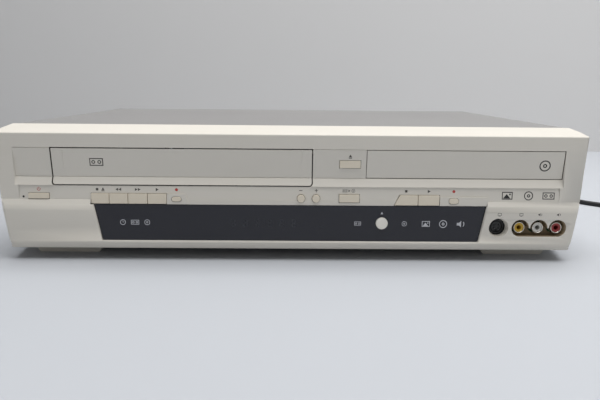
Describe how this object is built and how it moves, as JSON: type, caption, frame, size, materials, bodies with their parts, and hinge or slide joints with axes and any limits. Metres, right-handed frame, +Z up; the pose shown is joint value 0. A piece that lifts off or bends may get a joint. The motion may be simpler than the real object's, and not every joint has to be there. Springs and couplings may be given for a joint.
{
  "type": "disc and tape recorder",
  "caption": "Flat tape and disc recorder with a hinged tape door, sliding disc tray, sprung keys and front sockets.",
  "frame": {"origin": "on the floor under the middle of the case, feet down", "axes": "+X to the right seen from the front, +Y to the back, +Z up"},
  "size_m": [0.6586, 0.4513, 0.0995],
  "materials": {
    "cream_moulding": "moulded ABS, fine satin",
    "cream_keys": "moulded ABS, satin",
    "smoked_plate": "smoked acrylic, polished",
    "cover_steel": "fine-textured paint",
    "zinc_steel": "zinc plated",
    "machined_steel": "turned",
    "black_plastic": "moulded",
    "grey_plastic": "moulded",
    "circuit_board": "solder mask",
    "display_glass": "polished",
    "transformer_tape": "yellow tape",
    "yellow_socket": "moulded, in a bright barrel",
    "white_socket": "moulded, in a bright barrel",
    "red_socket": "moulded, in a bright barrel",
    "rubber": "matt",
    "cord_black": "soft PVC"
  },
  "bodies": {
    "case": {"front_panel": "cream_moulding", "display_window": "smoked_plate", "top_cover": "cover_steel", "base_pan": "zinc_steel", "rear_panel": "zinc_steel", "deck_chassis": "zinc_steel", "case_screws": "zinc_steel", "tuner_box": "zinc_steel", "clamp_bridge": "zinc_steel", "lower_drum": "machined_steel", "rear_feet": "black_plastic", "rear_sockets": "black_plastic", "fan_frame": "black_plastic", "s_video_socket": "black_plastic", "dvd_frame": "grey_plastic", "main_board": "circuit_board", "front_board": "circuit_board", "display_tube": "display_glass", "power_transformer": "transformer_tape", "yellow_jack": "yellow_socket", "white_jack": "white_socket", "red_jack": "red_socket", "drive_belt": "rubber", "strain_relief": "cord_black", "cord_run": "cord_black", "cord_coil": "cord_black", "plug": "cord_black"},
    "flap": {"cassette_flap": "cream_moulding"},
    "tray": {"disc_tray": "black_plastic", "tray_front": "cream_moulding"},
    "tray_pinion": {"tray_pinion": "grey_plastic"},
    "loader": {"loader_slide": "zinc_steel"},
    "holder": {"cassette_holder": "zinc_steel"},
    "capstan": {"capstan": "machined_steel"},
    "clutch": {"clutch_pulley": "grey_plastic"},
    "supply_reel": {"supply_reel": "grey_plastic"},
    "take_up_reel": {"take_up_reel": "grey_plastic"},
    "head_drum": {"head_drum": "machined_steel"},
    "pinch_arm": {"pinch_arm": "black_plastic"},
    "pinch_roller": {"pinch_roller": "rubber"},
    "fan_rotor": {"fan_rotor": "black_plastic"},
    "traverse": {"traverse_frame": "black_plastic", "guide_rods": "machined_steel"},
    "spindle": {"spindle": "black_plastic"},
    "sled": {"laser_sled": "black_plastic"},
    "sled_screw": {"sled_screw": "machined_steel"},
    "power_button": {"power_button": "cream_keys"},
    "tape_stop_button": {"tape_stop_button": "cream_keys"},
    "rewind_button": {"rewind_button": "cream_keys"},
    "forward_button": {"forward_button": "cream_keys"},
    "tape_play_button": {"tape_play_button": "cream_keys"},
    "tape_record_button": {"tape_record_button": "cream_keys"},
    "channel_down_button": {"channel_down_button": "cream_keys"},
    "channel_up_button": {"channel_up_button": "cream_keys"},
    "dubbing_button": {"dubbing_button": "cream_keys"},
    "open_close_button": {"open_close_button": "cream_keys"},
    "select_button": {"select_button": "cream_keys"},
    "disc_stop_button": {"disc_stop_button": "cream_keys"},
    "disc_play_button": {"disc_play_button": "cream_keys"},
    "disc_record_button": {"disc_record_button": "cream_keys"}
  },
  "joints": [
    {"name": "flap_hinge", "type": "hinge", "parent": "case", "child": "flap", "pos_m": [-0.0812, -0.1591, 0.0816], "axis": [1, 0, 0], "range_deg": [0, 85], "stiffness_Nm_per_rad": 0.004, "springref_deg": -28.65},
    {"name": "tray_slide", "type": "slide", "parent": "case", "child": "tray", "axis": [0, -1, 0], "range_m": [0, 0.14]},
    {"name": "pinion_turn", "type": "hinge", "parent": "case", "child": "tray_pinion", "pos_m": [0.0808, -0.1405, 0.064], "axis": [0, 0, 1], "range_deg": [-15, 1170]},
    {"name": "loader_in", "type": "slide", "parent": "case", "child": "loader", "axis": [0, 1, 0], "range_m": [0, 0.06]},
    {"name": "holder_down", "type": "slide", "parent": "loader", "child": "holder", "axis": [0, 0, -1], "range_m": [0, 0.02]},
    {"name": "capstan_turn", "type": "hinge", "parent": "case", "child": "capstan", "pos_m": [-0.0232, -0.0005, 0.03], "axis": [0, 0, 1], "continuous": true},
    {"name": "clutch_turn", "type": "hinge", "parent": "case", "child": "clutch", "pos_m": [-0.0812, -0.0485, 0.026], "axis": [0, 0, 1], "continuous": true},
    {"name": "supply_turn", "type": "hinge", "parent": "case", "child": "supply_reel", "pos_m": [-0.1168, -0.0615, 0.035], "axis": [0, 0, 1], "continuous": true},
    {"name": "take_up_turn", "type": "hinge", "parent": "case", "child": "take_up_reel", "pos_m": [-0.0456, -0.0615, 0.035], "axis": [0, 0, 1], "continuous": true},
    {"name": "drum_turn", "type": "hinge", "parent": "case", "child": "head_drum", "pos_m": [-0.0812, 0.0295, 0.038], "axis": [0, 0.1045, 0.9945], "continuous": true},
    {"name": "pinch_arm_swing", "type": "hinge", "parent": "case", "child": "pinch_arm", "pos_m": [-0.0032, 0.02877, 0.037], "axis": [0, 0, -1], "range_deg": [0, 14], "stiffness_Nm_per_rad": 0.01},
    {"name": "pinch_roller_turn", "type": "hinge", "parent": "pinch_arm", "child": "pinch_roller", "pos_m": [-0.00602, -0.0021, 0.047], "axis": [0, 0, 1], "continuous": true},
    {"name": "fan_turn", "type": "hinge", "parent": "case", "child": "fan_rotor", "pos_m": [-0.13, 0.153, 0.056], "axis": [0, 1, 0], "continuous": true},
    {"name": "traverse_lift", "type": "hinge", "parent": "case", "child": "traverse", "pos_m": [0.1278, -0.0095, 0.053], "axis": [-1, 0, 0], "range_deg": [0, 3.5]},
    {"name": "spindle_turn", "type": "hinge", "parent": "traverse", "child": "spindle", "pos_m": [0.1278, -0.0865, 0.055], "axis": [0, 0, 1], "continuous": true},
    {"name": "sled_slide", "type": "slide", "parent": "traverse", "child": "sled", "axis": [0, 1, 0], "range_m": [0, 0.033]},
    {"name": "screw_turn", "type": "hinge", "parent": "traverse", "child": "sled_screw", "pos_m": [0.1658, -0.0465, 0.0555], "axis": [0, 1, 0], "range_deg": [-40, 4050]},
    {"name": "power_press", "type": "slide", "parent": "case", "child": "power_button", "axis": [0, 1, 0], "range_m": [0, 0.001], "stiffness_N_per_m": 800},
    {"name": "tape_stop_press", "type": "slide", "parent": "case", "child": "tape_stop_button", "axis": [0, 1, 0], "range_m": [0, 0.001], "stiffness_N_per_m": 800},
    {"name": "rewind_press", "type": "slide", "parent": "case", "child": "rewind_button", "axis": [0, 1, 0], "range_m": [0, 0.001], "stiffness_N_per_m": 800},
    {"name": "forward_press", "type": "slide", "parent": "case", "child": "forward_button", "axis": [0, 1, 0], "range_m": [0, 0.001], "stiffness_N_per_m": 800},
    {"name": "tape_play_press", "type": "slide", "parent": "case", "child": "tape_play_button", "axis": [0, 1, 0], "range_m": [0, 0.001], "stiffness_N_per_m": 800},
    {"name": "tape_record_press", "type": "slide", "parent": "case", "child": "tape_record_button", "axis": [0, 1, 0], "range_m": [0, 0.001], "stiffness_N_per_m": 800},
    {"name": "channel_down_press", "type": "slide", "parent": "case", "child": "channel_down_button", "axis": [0, 1, 0], "range_m": [0, 0.001], "stiffness_N_per_m": 800},
    {"name": "channel_up_press", "type": "slide", "parent": "case", "child": "channel_up_button", "axis": [0, 1, 0], "range_m": [0, 0.001], "stiffness_N_per_m": 800},
    {"name": "dubbing_press", "type": "slide", "parent": "case", "child": "dubbing_button", "axis": [0, 1, 0], "range_m": [0, 0.001], "stiffness_N_per_m": 800},
    {"name": "open_close_press", "type": "slide", "parent": "case", "child": "open_close_button", "axis": [0, 1, 0], "range_m": [0, 0.001], "stiffness_N_per_m": 800},
    {"name": "select_press", "type": "slide", "parent": "case", "child": "select_button", "axis": [0, 1, 0], "range_m": [0, 0.001], "stiffness_N_per_m": 800},
    {"name": "disc_stop_press", "type": "slide", "parent": "case", "child": "disc_stop_button", "axis": [0, 1, 0], "range_m": [0, 0.001], "stiffness_N_per_m": 800},
    {"name": "disc_play_press", "type": "slide", "parent": "case", "child": "disc_play_button", "axis": [0, 1, 0], "range_m": [0, 0.001], "stiffness_N_per_m": 800},
    {"name": "disc_record_press", "type": "slide", "parent": "case", "child": "disc_record_button", "axis": [0, 1, 0], "range_m": [0, 0.001], "stiffness_N_per_m": 800}
  ],
  "couplings": [
    {"joint": "pinion_turn", "follows": "tray_slide", "rad_per_m": 142.86},
    {"joint": "clutch_turn", "follows": "capstan_turn", "ratio": 0.64286},
    {"joint": "screw_turn", "follows": "sled_slide", "rad_per_m": 2094.4}
  ]
}
